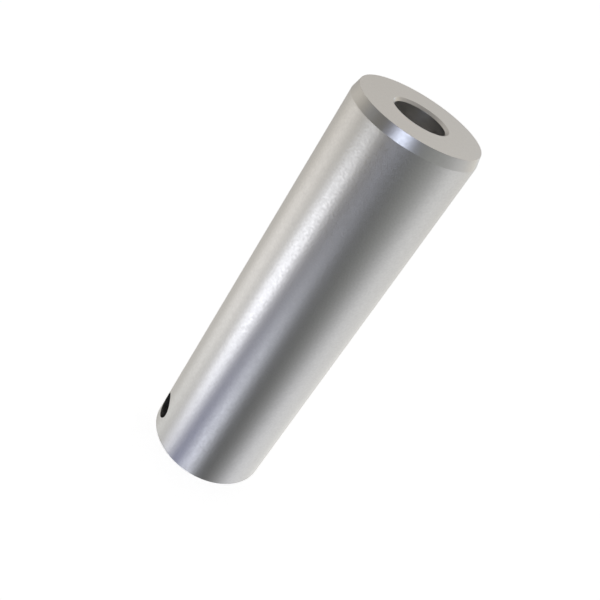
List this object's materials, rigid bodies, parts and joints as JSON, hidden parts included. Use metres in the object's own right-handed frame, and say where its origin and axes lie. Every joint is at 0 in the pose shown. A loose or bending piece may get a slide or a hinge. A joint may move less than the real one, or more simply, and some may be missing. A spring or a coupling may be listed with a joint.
{
  "type": "drilled pin",
  "caption": "Straight round steel pin with a lead-in cone and a blind axial bore at its upper end, and a cross hole close to its plain lower end.",
  "frame": {"origin": "centre of the plain lower end, which the pin stands on", "axes": "+Z along the pin's axis towards the bored end with the lead-in cone; X along the cross hole"},
  "size_m": [0.025, 0.025, 0.0846],
  "materials": {
    "steel": "fine ground satin, uncoated"
  },
  "bodies": {
    "root": {"pin": "steel"}
  },
  "joints": []
}
